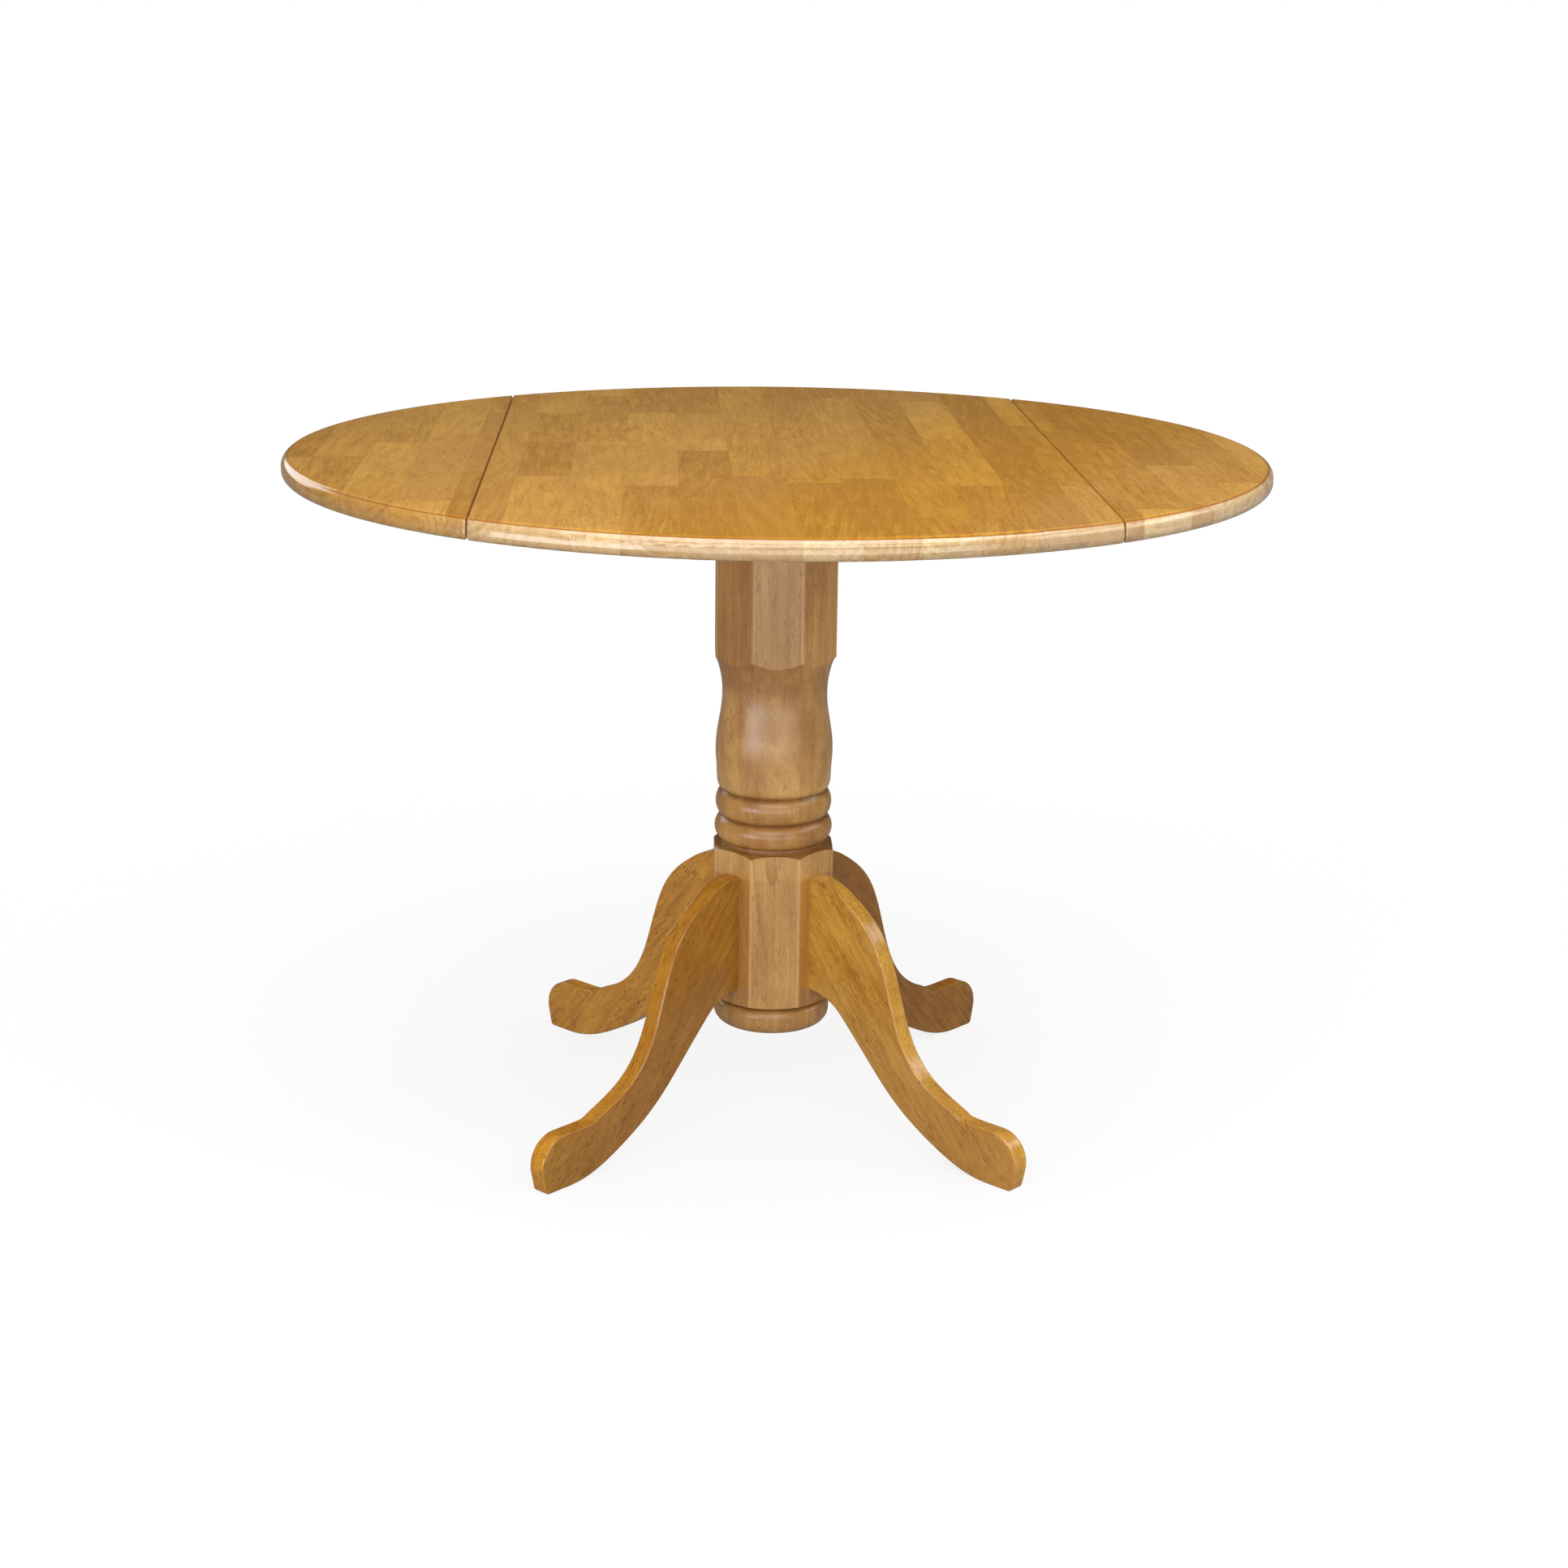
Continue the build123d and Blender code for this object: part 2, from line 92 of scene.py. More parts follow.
def calc(tree, operation, *values, clamp=False):
    """One sum. A mask here is a number from nothing to one that says how far an effect counts."""
    step = tree.nodes.new("ShaderNodeMath")
    step.operation = operation
    step.use_clamp = clamp
    for target, value in zip(step.inputs, values):
        plug(tree, target, value)
    return step.outputs[0]


def multiply(tree, first, *others):
    for other in others:
        first = calc(tree, "MULTIPLY", first, other)
    return first


def largest(tree, first, *others):
    for other in others:
        first = calc(tree, "MAXIMUM", first, other)
    return first


def size_of(tree, value):
    return calc(tree, "ABSOLUTE", value)


def inverse(tree, mask):
    return calc(tree, "SUBTRACT", 1.0, mask)


def vector_calc(tree, operation, *values):
    step = tree.nodes.new("ShaderNodeVectorMath")
    step.operation = operation
    for target, value in zip(step.inputs, values):
        plug(tree, target, value)
    return step.outputs["Value"] if operation in ("LENGTH", "DOT_PRODUCT") else step.outputs[0]


def split(tree, vector):
    step = tree.nodes.new("ShaderNodeSeparateXYZ")
    plug(tree, step.inputs[0], vector)
    return step.outputs


def join(tree, x, y, z):
    step = tree.nodes.new("ShaderNodeCombineXYZ")
    for target, value in zip(step.inputs, (x, y, z)):
        plug(tree, target, value)
    return step.outputs[0]


print("helpers for sums ready")

# %% [markdown]
# ## Helpers for noise, masks and colours
# Most masks on the table are soft steps along a height or a radius, so fade is the helper used most.
# Colours are written as a paint chart gives them. A tint multiplies a colour and so keeps the grain
# under it, while a blend covers it.

# %% Helpers for noise, masks and colours


def noise(tree, vector, detail=2.0, roughness=0.5):
    step = tree.nodes.new("ShaderNodeTexNoise")
    step.inputs["Scale"].default_value = 1.0
    step.inputs["Detail"].default_value = detail
    step.inputs["Roughness"].default_value = roughness
    plug(tree, step.inputs["Vector"], vector)
    return step


def fade(tree, value, low, high, to_low=0.0, to_high=1.0):
    """Value from low to high becomes to_low to to_high, and stays within them."""
    step = tree.nodes.new("ShaderNodeMapRange")
    step.interpolation_type = "SMOOTHSTEP"
    for name, number in (("From Min", low), ("From Max", high), ("To Min", to_low), ("To Max", to_high)):
        plug(tree, step.inputs[name], number)
    plug(tree, step.inputs["Value"], value)
    return step.outputs["Result"]


def paint(red, green, blue):
    """A colour as a paint chart gives it, 0 to 255, as the shader wants it."""
    linear = [((v / 255 + 0.055) / 1.055) ** 2.4 if v > 10 else v / 255 / 12.92 for v in (red, green, blue)]
    return (*linear, 1.0)


def blend_colour(tree, factor, first, second, kind="MIX"):
    step = tree.nodes.new("ShaderNodeMix")
    step.data_type = "RGBA"
    step.blend_type = kind
    plug(tree, step.inputs[0], factor)
    plug(tree, step.inputs[6], first)
    plug(tree, step.inputs[7], second)
    return step.outputs[2]


def tinted(tree, mask, colour, tint):
    """The colour multiplied by a tint of red, green and blue, as far as the mask says."""
    return blend_colour(tree, mask, colour, (*tint, 1.0), kind="MULTIPLY")


print("helpers for noise, masks and colours ready")

# %% [markdown]
# ## Helpers for node groups
# An effect that several materials share is a node group: it is built once, with named sockets, and each
# material places it with its own values. When the group is changed, all the wood changes with it.

# %% Helpers for node groups


def new_group(name, inputs, outputs):
    """An empty node group with named sockets: each input is (name, kind, default)."""
    tree = bpy.data.node_groups.new(name, "ShaderNodeTree")
    for socket_name, kind, default in inputs:
        socket = tree.interface.new_socket(socket_name, in_out="INPUT", socket_type="NodeSocket" + kind)
        socket.default_value = default
    for socket_name, kind in outputs:
        tree.interface.new_socket(socket_name, in_out="OUTPUT", socket_type="NodeSocket" + kind)
    return tree, tree.nodes.new("NodeGroupInput").outputs, tree.nodes.new("NodeGroupOutput").inputs


def place_group(tree, group, **values):
    """Put a group in a material. A value's name is its socket's name, with _ for a space."""
    step = tree.nodes.new("ShaderNodeGroup")
    step.node_tree = group
    for name, value in values.items():
        plug(tree, step.inputs[name.replace("_", " ")], value)
    return step.outputs


print("helpers for groups ready")

# %% [markdown]
# ## The figure of the wood
# A plank is cut out of a trunk, so its figure is a slice through slightly wavy cylinders, with fibres
# and pores drawn out along the grain. An image of a plank would need unwrapping and would break at each
# edge, while a figure worked out from the place runs through the solid. One group serves every board.
# The grain runs along Z, and the seed shifts the place, so that no two boards share a figure.

# %% Wood figure: sockets and seed
figure_group, given, result = new_group(
    "wood_figure",
    [
        ("Vector", "Vector", (0, 0, 0)),
        ("Seed", "Float", 0.0),
        ("Heart Distance", "Float", 0.06),
        ("Ring Spacing", "Float", 0.004),
        ("Ring Strength", "Float", 0.3),
        ("Fibre Strength", "Float", 0.5),
        ("Fibre Length", "Float", 0.11),
        ("Mottle Strength", "Float", 0.4),
        ("Pore Amount", "Float", 0.5),
    ],
    [("Tone", "Float"), ("Pores", "Float"), ("Blush", "Float"), ("Height", "Float")],
)
tree = figure_group
seed_steps = [calc(tree, "MULTIPLY", given["Seed"], step) for step in (3.7, 5.3, 2.9)]
shifted = vector_calc(tree, "ADD", given["Vector"], join(tree, *seed_steps))


def stretched(across, along):
    """The shifted place, scaled across and along the grain."""
    return vector_calc(figure_group, "MULTIPLY", shifted, (across, across, along))


def swing_of(step, amount):
    """A noise's value as a swing about zero."""
    return multiply(figure_group, calc(figure_group, "SUBTRACT", step.outputs["Fac"], 0.5), amount)


print("wood figure:", len(tree.nodes), "steps so far")

# %% [markdown]
# ### Rings
# The distance from a heart line that leans a little is cut into rings, which gives cathedrals on a flat
# face and arcs on the end grain with one formula. In each ring the wood darkens slowly and then jumps
# back to pale, so the ring is a saw tooth and not a wave. A slow noise bends the circles, and a second
# one lets the rings fade out in places, as they do in a hardwood that grew without a winter.

# %% Wood figure: rings
wander = 0.05               # how far the circles are bent, and how much the heart line leans
saw_bend = 2.5              # a higher power keeps the dark of a ring narrower
saw_middle = 0.28           # the level of the saw that leaves the tone as it is
gate_shut, gate_open = 0.35, 0.7
slow = noise(tree, stretched(7, 2.2), detail=1.5)
centred = vector_calc(tree, "SUBTRACT", slow.outputs["Color"], (0.5, 0.5, 0.5))
wobble = vector_calc(tree, "MULTIPLY", centred, (wander, wander, 0.0))
bent = split(tree, vector_calc(tree, "ADD", given["Vector"], wobble))
heart_x = calc(tree, "ADD", bent[0], given["Heart Distance"])
heart_x = calc(tree, "MULTIPLY_ADD", bent[2], wander, heart_x)
from_heart = vector_calc(tree, "LENGTH", join(tree, heart_x, bent[1], 0.0))
ring_turns = calc(tree, "DIVIDE", from_heart, given["Ring Spacing"])
saw = calc(tree, "POWER", calc(tree, "FRACT", ring_turns), saw_bend)
gate_noise = noise(tree, stretched(14, 4), detail=1.0).outputs["Fac"]
ring_gate = fade(tree, gate_noise, gate_shut, gate_open)
rings = multiply(tree, calc(tree, "SUBTRACT", saw_middle, saw), ring_gate, given["Ring Strength"])
print("wood figure:", len(tree.nodes), "steps so far")

# %% [markdown]
# ### Fibres and mottle
# Fibres are a noise drawn out along the grain: fine ones, and wider streaks that are almost twice as
# long. The mottle is a rounder noise, the cloudy shimmer of wood whose fibres wave up and down.

# %% Wood figure: fibres and mottle


def strands(tree, across, along_share, detail, roughness):
    """A noise with along_share changes in one fibre length."""
    along = calc(tree, "DIVIDE", along_share, given["Fibre Length"])
    drawn_out = vector_calc(tree, "MULTIPLY", shifted, join(tree, across, across, along))
    return swing_of(noise(tree, drawn_out, detail=detail, roughness=roughness), given["Fibre Strength"])


fine_fibres = strands(tree, 420, 1.0, detail=3.0, roughness=0.6)
streaks = strands(tree, 120, 0.55, detail=2.0, roughness=0.5)
fibres = calc(tree, "ADD", fine_fibres, streaks)
mottle = swing_of(noise(tree, stretched(38, 22), detail=3.0, roughness=0.6), given["Mottle Strength"])
tone = calc(tree, "ADD", calc(tree, "ADD", fibres, mottle), calc(tree, "ADD", rings, 0.5), clamp=True)
print("wood figure:", len(tree.nodes), "steps so far")

# %% [markdown]
# ### Pores and blush
# Pores are short dark dashes where the saw opened a vessel. A crowd noise lowers the level above which
# a dash shows, so that they stand close together in some places and far apart in others. The blush is
# a slow patch in which the wood takes the stain browner. The height sinks at the pores for the bump.

# %% Wood figure: pores, blush and outputs
highest_level, crowding = 0.79, 0.34
dash_softness = 0.16
pore_sinking = 0.8
blush_from, blush_full = 0.36, 0.66
pore_crowd = noise(tree, stretched(70, 16), detail=1.0).outputs["Fac"]
pore_level = calc(tree, "MULTIPLY_ADD", pore_crowd, -crowding, highest_level)
pore_grains = noise(tree, stretched(1500, 110), detail=0.0).outputs["Fac"]
pores = fade(tree, pore_grains, pore_level, calc(tree, "ADD", pore_level, dash_softness))
pores = calc(tree, "MULTIPLY", pores, given["Pore Amount"], clamp=True)
plug(tree, result["Tone"], tone)
plug(tree, result["Pores"], pores)
blush_noise = noise(tree, stretched(9, 3.5), detail=2.0).outputs["Fac"]
plug(tree, result["Blush"], fade(tree, blush_noise, blush_from, blush_full))
plug(tree, result["Height"], calc(tree, "MULTIPLY_ADD", pores, -pore_sinking, tone))
print("wood figure:", len(tree.nodes), "steps")

# %% [markdown]
# ## Staves
# The top is glued up from staves about as wide as three fingers, and each stave from short blocks set
# end to end. Rounding the position across the boards gives a stave's number, and rounding the position
# along it, shifted by a random step for each stave, gives a block's number. White noise turns the two
# numbers into three dice per block: its tone, its seed and how it lay in the trunk. Real blocks as
# separate meshes would only add edges that a sanded and lacquered top doesn't have.

# %% Staves: numbers and dice
stave_group, given, result = new_group(
    "staves",
    [
        ("Across", "Float", 0.0),
        ("Along", "Float", 0.0),
        ("Stave Width", "Float", 0.055),
        ("Block Length", "Float", 0.3),
        ("Seed", "Float", 0.0),
    ],
    [("Random", "Color"), ("Joint", "Float"), ("Stave Centre", "Float")],
)
tree = stave_group


def throw_dice(dimensions, x, y, z):
    """White noise: the same numbers in always give the same throw."""
    step = stave_group.nodes.new("ShaderNodeTexWhiteNoise")
    step.noise_dimensions = dimensions
    plug(stave_group, step.inputs["Vector"], join(stave_group, x, y, z))
    return step.outputs


shortest, longest = 0.75, 1.45      # a stave's blocks, as shares of the length that is given
most_stagger = 37.0                 # in blocks: any large number keeps the butt joints from lining up
stave_place = calc(tree, "DIVIDE", given["Across"], given["Stave Width"])
stave_number = calc(tree, "FLOOR", stave_place)
stave_die = throw_dice("2D", stave_number, given["Seed"], 0.0)["Value"]
block_length = multiply(tree, given["Block Length"], fade(tree, stave_die, 0.0, 1.0, shortest, longest))
stagger = multiply(tree, stave_die, most_stagger)
block_place = calc(tree, "ADD", calc(tree, "DIVIDE", given["Along"], block_length), stagger)
block_number = calc(tree, "FLOOR", block_place)
block_dice = throw_dice("3D", stave_number, block_number, given["Seed"])["Color"]
print("staves:", len(tree.nodes), "steps so far")

# %% [markdown]
# ### Glue joints
# The distance to the nearest side of the stave and to the nearest end of the block gives a hairline of
# glue. A butt joint drinks more stain than a side joint, so it is wider and darker.

# %% Staves: joints and outputs
side_line_width, side_line_depth = 0.0006, 0.4
end_line_width, end_line_depth = 0.0012, 1.0
to_side = multiply(tree, calc(tree, "PINGPONG", stave_place, 0.5), given["Stave Width"])
to_end = multiply(tree, calc(tree, "PINGPONG", block_place, 0.5), block_length)
side_line = fade(tree, to_side, 0.0, side_line_width, side_line_depth, 0.0)
end_line = fade(tree, to_end, 0.0, end_line_width, end_line_depth, 0.0)
plug(tree, result["Random"], block_dice)
plug(tree, result["Joint"], largest(tree, side_line, end_line))
stave_centre = multiply(tree, calc(tree, "ADD", stave_number, 0.5), given["Stave Width"])
plug(tree, result["Stave Centre"], stave_centre)
print("staves:", len(tree.nodes), "steps")

# %% [markdown]
# ## Stain
# Stain soaks deeper into the soft early wood and the open pores, so it is a dark and a light honey with
# the figure's tone between them, a browner blush in slow patches, and a dark brown for the pores. A
# single tinted colour over a grey figure would look printed, because real stain shifts its hue too.

# %% Node group: stain
stain_group, given, result = new_group(
    "honey_stain",
    [
        ("Tone", "Float", 0.5),
        ("Pores", "Float", 0.0),
        ("Blush", "Float", 0.0),
        ("Dark", "Color", paint(160, 108, 46)),
        ("Light", "Color", paint(205, 158, 88)),
        ("Blush Colour", "Color", paint(172, 120, 70)),
        ("Pore", "Color", paint(120, 72, 28)),
    ],
    [("Color", "Color")],
)
tree = stain_group
honey = blend_colour(tree, given["Tone"], given["Dark"], given["Light"])
blushed = blend_colour(tree, given["Blush"], honey, given["Blush Colour"])
plug(tree, result["Color"], blend_colour(tree, given["Pores"], blushed, given["Pore"]))
print("stain:", len(stain_group.nodes), "steps")

# %% [markdown]
# ## Lacquer
# Every wooden piece gets the same satin lacquer: a thin clear coat over the stained wood, which mirrors
# lamps softly but with a clear edge. The Principled shader stays in each material, with a faint bump
# from the figure, because lacquer sinks a little into the pores. The wood under the coat doesn't mirror
# anything by itself, so that all the gloss is the coat's and one number sets how sharp it is.

# %% Lacquered wood


def add_bump(tree, shader, height, strength, depth):
    """Let a height of the surface, depth metres deep at most, turn the shader's normal."""
    bump = tree.nodes.new("ShaderNodeBump")
    bump.inputs["Strength"].default_value = strength
    bump.inputs["Distance"].default_value = depth
    plug(tree, bump.inputs["Height"], height)
    plug(tree, shader.inputs["Normal"], bump.outputs["Normal"])


def new_material(name):
    """A material with its node tree, its Principled shader and the place on the piece."""
    material = bpy.data.materials.new(name)
    material.use_nodes = True
    tree = material.node_tree
    position = tree.nodes.new("ShaderNodeTexCoord").outputs["Object"]
    return material, tree, tree.nodes["Principled BSDF"], position


def lacquered_wood(name, colour_steps, coat=1.0, coat_roughness=0.2):
    """A wood material. colour_steps(tree, position) returns the sockets of its colour and its height."""
    material, tree, shader, position = new_material(name)
    colour, height = colour_steps(tree, position)
    plug(tree, shader.inputs["Base Color"], colour)
    shader.inputs["Roughness"].default_value = 0.5
    shader.inputs["Specular IOR Level"].default_value = 0.0
    shader.inputs["Coat Weight"].default_value = coat
    shader.inputs["Coat Roughness"].default_value = coat_roughness
    shader.inputs["Coat IOR"].default_value = 1.75
    add_bump(tree, shader, height, 0.10, 0.0004)
    return material


def dress(node, material):
    """Give every material slot of a frame node this material."""
    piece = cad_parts[node]
    if not piece.material_slots:
        piece.data.materials.append(material)
    for slot in piece.material_slots:
        slot.material = material


print("lacquer ready")

# %% [markdown]
# ## The three boards of the top
# Staves run from front to back through the panel and both leaves. Each block lay its own way in the
# trunk, so its dice lean its grain, slide the figure along and pick its distance from the heart. The
# fibres are kept short, as in a close-grained hardwood. On the rim the rings show more strongly,
# because the round cuts through them.

# %% Top: the figure of the blocks
seeds_apart = 9.0                   # the dice spread the seeds over this much
most_slide = 0.5                    # they slide a block's figure along within this length
most_lean = 0.16                    # and lean its grain within this, in metres for a metre along
heart_near, heart_far = -0.72, -0.80
rings_on_flat, more_on_rim = 0.35, 0.4


def block_figure(tree, place, on_rim, seed):
    """The joint mask, the three dice and the figure of the blocks."""
    x, y, z = place
    staves = place_group(tree, stave_group, Across=x, Along=y, Seed=seed)
    dice = split(tree, staves["Random"])
    along = calc(tree, "MULTIPLY_ADD", calc(tree, "SUBTRACT", dice[1], 0.5), most_slide, y)
    lean = multiply(tree, calc(tree, "SUBTRACT", dice[2], 0.5), most_lean)
    across = calc(tree, "MULTIPLY_ADD", y, lean, calc(tree, "SUBTRACT", x, staves["Stave Centre"]))
    figure = place_group(
        tree,
        figure_group,
        Vector=join(tree, z, across, along),
        Seed=multiply(tree, dice[0], seeds_apart),
        Heart_Distance=fade(tree, dice[1], 0.0, 1.0, heart_near, heart_far),
        Ring_Spacing=0.0085,
        Ring_Strength=calc(tree, "MULTIPLY_ADD", on_rim, more_on_rim, rings_on_flat),
        Fibre_Strength=1.2,
        Fibre_Length=0.045,
        Mottle_Strength=0.5,
        Pore_Amount=0.55,
    )
    return staves["Joint"], dice, figure


print("blocks of the top ready")

# %% [markdown]
# ### The stain of the blocks
# No two blocks take the stain alike, so a die makes each one darker or paler, and about one in ten comes
# out brown. The rim was sanded after the gluing and is more even, so there they differ half as much.

# %% Top: the stain of the blocks
top_paints = {
    "Dark": paint(179, 125, 45),
    "Light": paint(215, 163, 75),
    "Blush_Colour": paint(185, 131, 67),
    "Pore": paint(122, 72, 24),
}
darkest_block, palest_block = -0.4, 0.36
brown_from, brown_full, brown_depth = 0.88, 0.92, 0.55
rim_evening = 0.5
joint_depth = 0.22


def block_stain(tree, joint, dice, figure, on_rim):
    evener = calc(tree, "MULTIPLY_ADD", on_rim, -rim_evening, 1.0)
    block_tone = multiply(tree, fade(tree, dice[0], 0.0, 1.0, darkest_block, palest_block), evener)
    brown_block = multiply(tree, fade(tree, dice[2], brown_from, brown_full, 0.0, brown_depth), evener)
    colour = place_group(
        tree,
        stain_group,
        Tone=calc(tree, "ADD", figure["Tone"], block_tone, clamp=True),
        Pores=figure["Pores"],
        Blush=largest(tree, multiply(tree, figure["Blush"], 0.35), brown_block),
        **top_paints,
    )["Color"]
    return blend_colour(tree, multiply(tree, joint, joint_depth), colour, paint(128, 76, 26))


print("stain of the top ready")

# %% [markdown]
# ### The golden band and the pale rim
# A band that slants from the middle of the front to the rear right has turned a yellower gold. The last
# few millimetres of the flat and the rim are darkened with painted shade, against the lamplight they catch
# as they turn outwards. Over that the rim is painted much paler and less yellow, all but its left end: a
# painted reflection of the lamps. All are tints, so the grain stays under them.

# %% Top: golden band and pale rim
rim_turn = top_radius - 0.0050      # where the rounded rim turns from upwards to outwards
rim_approach = 0.005                # over this much of the flat the painted shade deepens towards the rim
band_slant = -0.5                   # the band moves half a metre sideways for each metre back
band_rise, band_drop = (0.0, 0.2), (0.34, 0.46)
golden_tint = (1.0, 0.95, 0.5)
# Painted shade on the rim and on the edge of the flat.
rim_shade_tint = (0.74, 0.72, 0.72)
rim_reflection_tint = (1.38, 2.0, 6.0)        # painted reflection on the rim: takes the honey off it again, mostly its yellow
plain_rim_end, rim_reflection_from = -0.38, -0.26   # across the left leaf, the rim turns from plain stain to its painted reflection


def rim_and_band(tree, place, dice, from_middle, on_rim, colour):
    x, y, z = place
    slanting = calc(tree, "MULTIPLY_ADD", y, band_slant, x)
    rise, drop = fade(tree, slanting, *band_rise), fade(tree, slanting, *band_drop, 1.0, 0.0)
    colour = tinted(tree, multiply(tree, rise, drop, inverse(tree, on_rim)), colour, golden_tint)
    # Painted shade: the flat's last millimetres and the rim are darkened against the lamplight they catch.
    turn_shade = fade(tree, from_middle, rim_turn - rim_approach, rim_turn)
    colour = tinted(tree, largest(tree, on_rim, turn_shade), colour, rim_shade_tint)
    # Painted reflection: the rim is painted pale where the lamps would mirror in it, block by block, fading
    # out on the left.
    pale_blocks = fade(tree, dice[1], 0.0, 1.0, 0.6, 1.0)
    reflected_side = fade(tree, x, plain_rim_end, rim_reflection_from, 0.1, 1.0)
    return tinted(tree, multiply(tree, pale_blocks, reflected_side, on_rim), colour, rim_reflection_tint)


print("golden band and rim ready")

# %% [markdown]
# ### Lines of gathered stain, and a painted edge on the rim
# When a stain is wiped off, some stays in every crease, so a weak red-brown line runs along the eased
# seams. The thin red-brown line where the flat meets the rounded rim is a painted dark edge of the rim's
# painted reflection. They come from the place alone, and only near the upper face, so they need no extra
# pieces.

# %% Top: gathered stain on the seams and a painted edge on the rim
# The half width of the painted dark edge at the start of the rim.
rim_edge_half = 0.0014
seam_ease = 0.0024                  # how far the eased edge of a seam reaches over the flat
seam_line_half = seam_ease * 1.3
seam_share, line_depth = 0.4, 0.6
line_ends, line_full = 0.006, 0.004     # below the upper face


def line_mask(tree, distance, half_width):
    """One on the line, fading to nothing at half_width from it."""
    return fade(tree, size_of(tree, distance), half_width * 0.3, half_width, 1.0, 0.0)


def crease_lines(tree, place, from_middle, colour):
    x, y, z = place
    # The rim line is a painted dark edge of the rim's painted reflection; the seam line is gathered stain.
    rim_reflection_edge = line_mask(tree, calc(tree, "SUBTRACT", from_middle, rim_turn), rim_edge_half)
    to_seam = calc(tree, "SUBTRACT", size_of(tree, x), seam)
    seam_line = multiply(tree, line_mask(tree, to_seam, seam_line_half), seam_share)
    near_top = fade(tree, z, table_height - line_ends, table_height - line_full)
    line = multiply(tree, largest(tree, rim_reflection_edge, seam_line), near_top, line_depth)
    return blend_colour(tree, line, colour, paint(140, 76, 24))


print("stain lines ready")

# %% [markdown]
# ### The boards are dressed
# The panel and the leaves share one recipe with three seeds, so their blocks don't repeat, while the
# band, the rim and its line run on from board to board, as on a top that was sanded in one go.

# %% Top: the three boards


def top_colour(seed):
    def steps(tree, position):
        place = split(tree, position)
        from_middle = vector_calc(tree, "LENGTH", join(tree, place[0], place[1], 0.0))
        on_rim = fade(tree, from_middle, rim_turn, rim_turn + 0.0006)
        joint, dice, figure = block_figure(tree, place, on_rim, seed)
        colour = block_stain(tree, joint, dice, figure, on_rim)
        colour = rim_and_band(tree, place, dice, from_middle, on_rim, colour)
        return crease_lines(tree, place, from_middle, colour), figure["Height"]

    return steps


for node, seed in (("centre_panel", 3.0), ("left_leaf", 8.0), ("right_leaf", 14.0)):
    dress(node, lacquered_wood(node + "_wood", top_colour(seed), coat_roughness=0.14))
print("top dressed")

# %% [markdown]
# ## The column
# The column is glued up from upright boards, planed to eight sides and then turned in two places, so a
# glued edge runs down its front left corner. Its wood is paler and pinker than the top's. The solid
# already has every flat, groove and scallop, so the dress only has to know their heights and distances
# from the axis, and they are named here once for all the masks below.

# %% Column: heights and distances, from the floor and the axis
foot_ring_top = 0.139
lower_faces = (0.14, 0.287)         # the lower eight faces
lower_scallops = (0.287, 0.291)
shoulder = (0.300, 0.320)
grooves = (0.315, 0.387)            # from below the lower bead to above the upper one
beads = (0.323, 0.380)
vase = (0.33, 0.51)
upper_scallops = (0.505, 0.540)     # where the turning runs out into the upper faces
upper_faces_from = 0.53
groove_depth = (0.0598, 0.0635)     # from the bottom of a groove to the swell of a bead
shoulder_width = (0.060, 0.064)
across_flats = (0.0660, 0.0664)     # a flat begins about here, on each of the eight sides
corner = (0.0708, 0.0716)           # the long sharp corners begin about here
board_width = 0.082
board_edge = -0.0275                # a glued edge, seen at the front left corner
column_paints = {
    "Dark": paint(174, 123, 60),
    "Light": paint(217, 171, 99),
    "Blush_Colour": paint(168, 116, 60),
    "Pore": paint(116, 72, 34),
}
print("column: boards of", round(board_width * 1000), "mm, one edge at", round(board_edge * 1000, 1), "mm")

# %% [markdown]
# ### The figure of the column
# The boards are the same staves group with one very long block in each stave. Each board of the upper
# part has its own figure, but below it one figure runs round the turning, because a broken one would
# look like a seam. The vase is cut across the fibres: there they fade, and the mottle grows to swirls.

# %% Column: figure and stain
own_figure_from = (0.512, 0.513)
rings_below, rings_above = 0.8, 0.35


def band(tree, value, low, high, soft):
    """One between low and high, fading to nothing over soft outside them."""
    return multiply(tree, fade(tree, value, low - soft, low), fade(tree, value, high, high + soft, 1.0, 0.0))


def column_wood(tree, place):
    """The stained colour of the boards and the height for the bump."""
    x, y, z = place
    boards = place_group(
        tree,
        stave_group,
        Across=calc(tree, "SUBTRACT", x, board_edge),
        Along=z,
        Stave_Width=board_width,
        Block_Length=3.0,
        Seed=5.0,
    )
    board_die = split(tree, boards["Random"])[0]
    on_vase = band(tree, z, *vase, 0.02)
    figure = place_group(
        tree,
        figure_group,
        Vector=join(tree, y, x, z),
        Seed=multiply(tree, board_die, fade(tree, z, *own_figure_from, 0.0, seeds_apart)),
        Heart_Distance=0.03,
        Ring_Spacing=0.011,
        Ring_Strength=fade(tree, z, 0.29, 0.33, rings_below, rings_above),
        Fibre_Strength=calc(tree, "MULTIPLY_ADD", on_vase, -0.6, 1.0),
        Mottle_Strength=calc(tree, "MULTIPLY_ADD", on_vase, 1.5, 0.8),
        Pore_Amount=0.6,
    )
    stained = place_group(
        tree,
        stain_group,
        Tone=figure["Tone"],
        Pores=figure["Pores"],
        Blush=multiply(tree, figure["Blush"], 0.6),
        **column_paints,
    )
    return stained["Color"], figure["Height"]


print("column's wood ready")

# %% [markdown]
# ### Boards of the column
# The board left of the glued edge is a darker one, and it shows strongly on the upper faces and only
# faintly on the turning. The upper faces right of the front one are painted paler: painted light, in
# place of a low lamp on the right. The joint itself is a hairline of glue with a little stain in it.

# %% Column: boards
left_board_tint = (0.8, 0.68, 0.58)
right_face_light_tint = (1.22, 1.17, 1.12)


